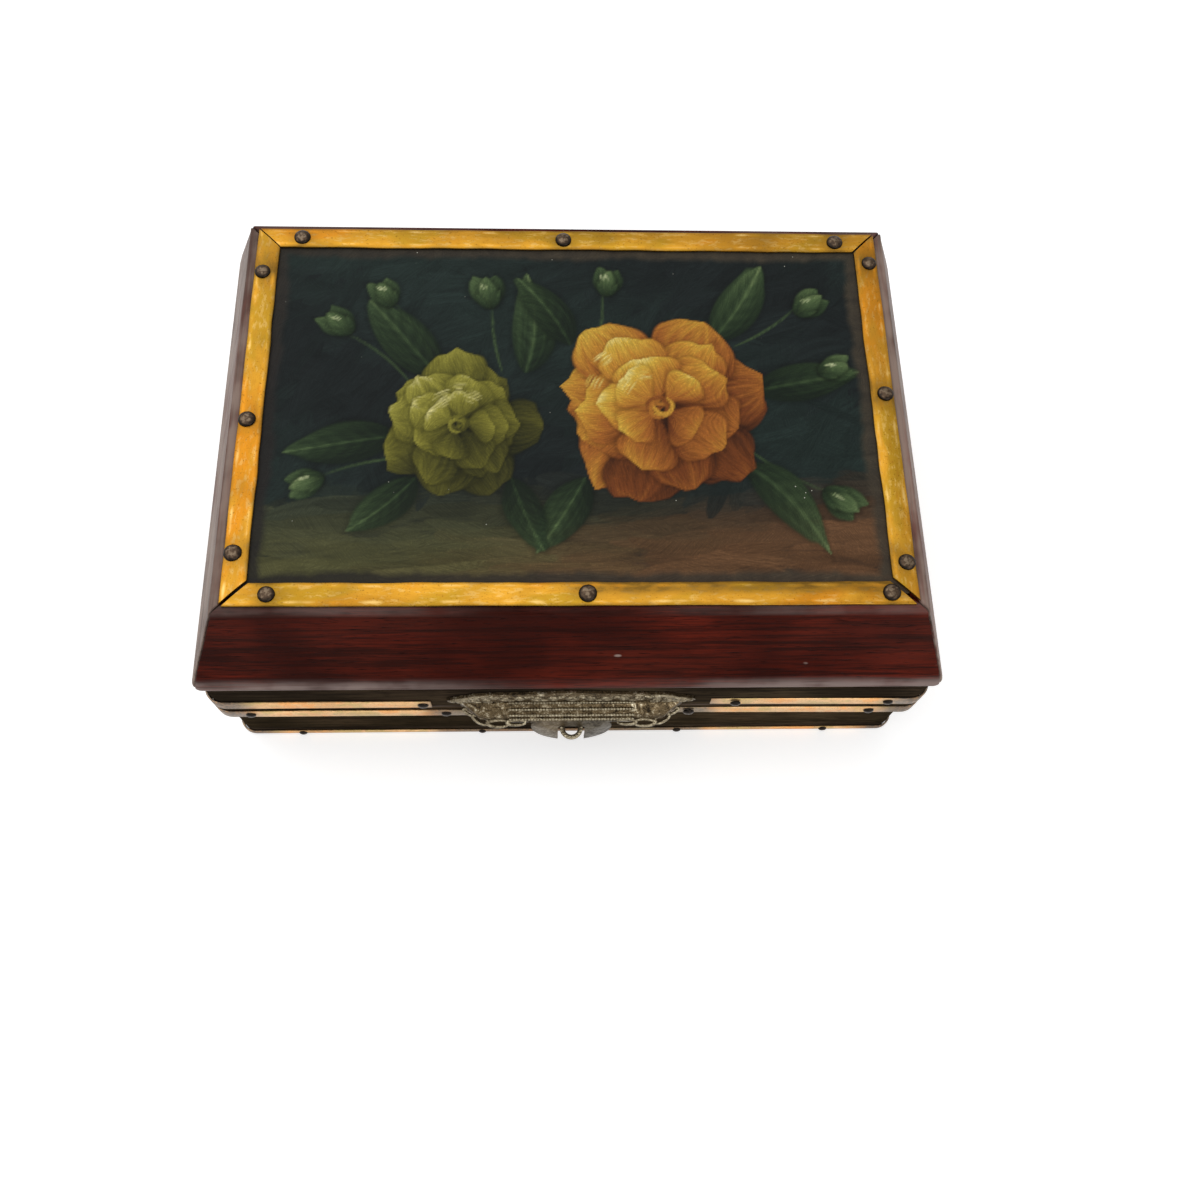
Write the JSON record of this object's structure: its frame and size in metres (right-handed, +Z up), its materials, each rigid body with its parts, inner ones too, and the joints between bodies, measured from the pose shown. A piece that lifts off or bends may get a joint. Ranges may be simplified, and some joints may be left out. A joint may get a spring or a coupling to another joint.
{
  "type": "jewelry box",
  "caption": "Small wooden jewelry box with a steep hinged lid, a painted panel in a tacked brass frame, a front hasp and lined compartments.",
  "frame": {"origin": "middle of the underside of the floor board, on the surface the box stands on", "axes": "+Z up; the front with the hasp faces -Y and the hinges are on the +Y side; +X is to the right seen from the front"},
  "size_m": [0.228, 0.1719, 0.0893],
  "materials": {
    "dark_wood": "dark mahogany stain, satin, worn on the edges",
    "red_wood": "red mahogany stain, satin, fine grain",
    "plain_wood": "bare softwood board",
    "painted_panel": "hand-painted oil colour, satin varnish",
    "gold_brass": "polished sheet, patchy tarnish",
    "pale_brass": "polished sheet, light",
    "aged_brass": "stamped and aged, olive grey",
    "tack_bronze": "dark bronzed dome",
    "wine_velvet": "short velvet pile",
    "mirror_glass": "silvered glass"
  },
  "bodies": {
    "base": {"floor_board": "dark_wood", "wall_back": "dark_wood", "wall_left": "dark_wood", "wall_front": "dark_wood", "wall_right": "dark_wood", "rim_moulding_back": "dark_wood", "rim_moulding_left": "dark_wood", "rim_moulding_front": "dark_wood", "rim_moulding_right": "dark_wood", "rim_band": "pale_brass", "foot_band": "pale_brass", "wall_lining": "wine_velvet", "floor_pad": "wine_velvet", "long_divider": "wine_velvet", "cross_divider_left": "wine_velvet", "cross_divider_right": "wine_velvet", "keeper_plate": "aged_brass", "staple_loop": "aged_brass", "hinge_body_leaf_left": "aged_brass", "hinge_body_leaf_right": "aged_brass", "hinge_pin_left": "aged_brass", "hinge_pin_right": "aged_brass"},
    "lid": {"lid_slope_back": "red_wood", "lid_slope_left": "red_wood", "lid_slope_front": "red_wood", "lid_slope_right": "red_wood", "lid_skirt_back": "dark_wood", "lid_skirt_left": "dark_wood", "lid_skirt_front": "dark_wood", "lid_skirt_right": "dark_wood", "lid_top_board": "plain_wood", "painted_panel": "painted_panel", "frame_strip_back": "gold_brass", "frame_strip_left": "gold_brass", "frame_strip_front": "gold_brass", "frame_strip_right": "gold_brass", "tack_back_1": "tack_bronze", "tack_back_2": "tack_bronze", "tack_back_3": "tack_bronze", "tack_left_1": "tack_bronze", "tack_left_2": "tack_bronze", "tack_left_3": "tack_bronze", "tack_front_1": "tack_bronze", "tack_front_2": "tack_bronze", "tack_front_3": "tack_bronze", "tack_right_1": "tack_bronze", "tack_right_2": "tack_bronze", "tack_right_3": "tack_bronze", "mirror_glass": "mirror_glass", "mirror_bead_back": "red_wood", "mirror_bead_left": "red_wood", "mirror_bead_front": "red_wood", "mirror_bead_right": "red_wood", "skirt_band": "pale_brass", "clasp_plate": "aged_brass", "hasp_pin": "aged_brass", "hinge_lid_leaf_left": "aged_brass", "hinge_lid_leaf_right": "aged_brass"},
    "hasp": {"hasp_flap": "aged_brass"}
  },
  "joints": [
    {"name": "lid_hinge", "type": "hinge", "parent": "base", "child": "lid", "pos_m": [0, 0.0814, 0.03485], "axis": [-1, 0, 0], "range_deg": [0, 105]},
    {"name": "hasp_hinge", "type": "hinge", "parent": "lid", "child": "hasp", "pos_m": [0, -0.0816, 0.03485], "axis": [-1, 0, 0], "range_deg": [0, 82]}
  ]
}
